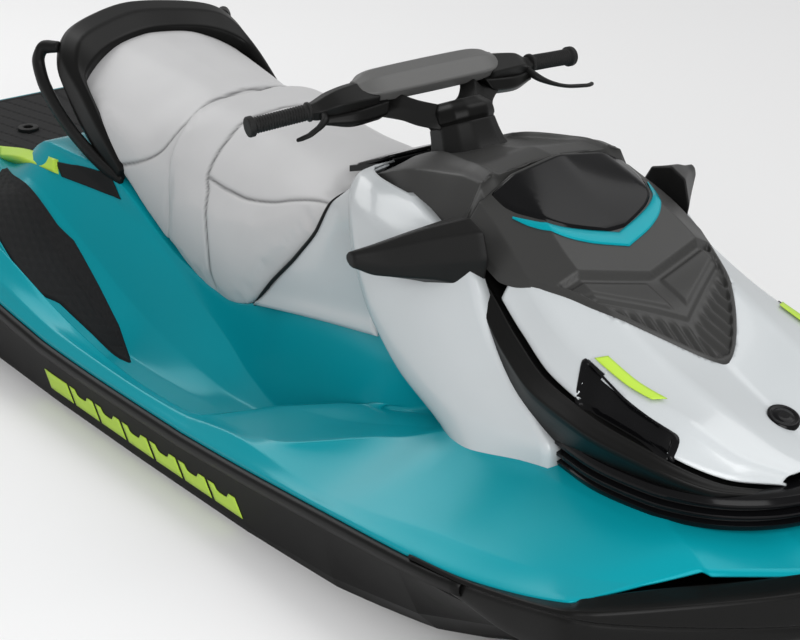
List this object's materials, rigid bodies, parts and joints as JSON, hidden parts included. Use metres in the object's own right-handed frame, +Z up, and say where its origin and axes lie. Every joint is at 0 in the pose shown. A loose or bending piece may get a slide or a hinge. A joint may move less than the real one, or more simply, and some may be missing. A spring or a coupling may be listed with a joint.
{
  "type": "personal watercraft",
  "caption": "Sit-on personal watercraft with a V-bottom hull, open footwells, long seat, steering bar, front storage lid and jet pump with reverse bucket.",
  "frame": {"origin": "on the waterline amidships, in the plane of symmetry", "axes": "+X to the bow, +Y to port, +Z up out of the water"},
  "size_m": [3.32, 1.255, 1.1],
  "materials": {
    "hull_black": "satin",
    "teal": "gloss",
    "dark_plastic": "satin",
    "white": "gloss",
    "seat_vinyl": "matt",
    "gloss_black": "gloss",
    "mat_rubber": "matt",
    "alloy": "satin",
    "steel": "polished"
  },
  "bodies": {
    "craft": {"hull": "hull_black", "deck": "teal", "seat_base": "teal", "rub_rail": "dark_plastic", "bow_bumper": "dark_plastic", "engine_block": "alloy", "side_cowl_left": "white", "side_cowl_right": "white", "front_cowl": "dark_plastic", "front_bumper": "dark_plastic", "storage_bin": "dark_plastic", "console": "dark_plastic", "glovebox": "dark_plastic", "seat_rider": "seat_vinyl", "seat_passenger": "seat_vinyl", "seat_panel": "white", "mirror_left": "dark_plastic", "mirror_right": "dark_plastic", "steering_column": "dark_plastic", "pump_housing": "alloy", "ride_plate": "alloy", "intake_grate": "alloy", "sponson_left": "dark_plastic", "sponson_right": "dark_plastic", "rear_deck_mat": "mat_rubber", "deck_anchors": "dark_plastic", "footwell_mat_left": "mat_rubber", "footwell_mat_right": "mat_rubber", "grab_handle": "dark_plastic", "bow_eye": "steel", "stern_eye_left": "steel", "stern_eye_right": "steel"},
    "hood": {"hood": "white", "scoop_left": "gloss_black", "scoop_right": "gloss_black", "hood_panel": "gloss_black", "hood_stripe": "teal", "hood_insert": "dark_plastic"},
    "glovebox_lid": {"glovebox_lid": "gloss_black"},
    "handlebar": {"handlebar": "dark_plastic", "handlebar_pad": "dark_plastic", "grip_left": "mat_rubber", "grip_right": "mat_rubber", "brake_lever": "dark_plastic", "throttle_lever": "dark_plastic"},
    "steering_nozzle": {"steering_nozzle": "alloy"},
    "reverse_bucket": {"reverse_bucket": "dark_plastic"},
    "impeller": {"impeller": "steel", "drive_shaft": "steel"}
  },
  "joints": [
    {"name": "hood_hinge", "type": "hinge", "parent": "craft", "child": "hood", "pos_m": [1.462, 0, 0.4], "axis": [0, 1, 0], "range_deg": [0, 60]},
    {"name": "glovebox_lid_hinge", "type": "hinge", "parent": "craft", "child": "glovebox_lid", "pos_m": [0.228, 0, 0.656], "axis": [0, 1, 0], "range_deg": [0, 60]},
    {"name": "handlebar_steer", "type": "hinge", "parent": "craft", "child": "handlebar", "pos_m": [0.33, 0, 0.742], "axis": [-0.4067, 0, 0.9135], "range_deg": [-22, 22]},
    {"name": "nozzle_steer", "type": "hinge", "parent": "craft", "child": "steering_nozzle", "pos_m": [-1.556, 0, -0.12], "axis": [0, 0, 1], "range_deg": [-20, 20]},
    {"name": "reverse_bucket_tilt", "type": "hinge", "parent": "craft", "child": "reverse_bucket", "pos_m": [-1.556, 0, -0.12], "axis": [0, -1, 0], "range_deg": [0, 65]},
    {"name": "impeller_spin", "type": "hinge", "parent": "craft", "child": "impeller", "pos_m": [-1.2, 0, -0.12], "axis": [1, 0, 0], "continuous": true}
  ],
  "couplings": [
    {"joint": "nozzle_steer", "follows": "handlebar_steer", "ratio": -0.9}
  ]
}
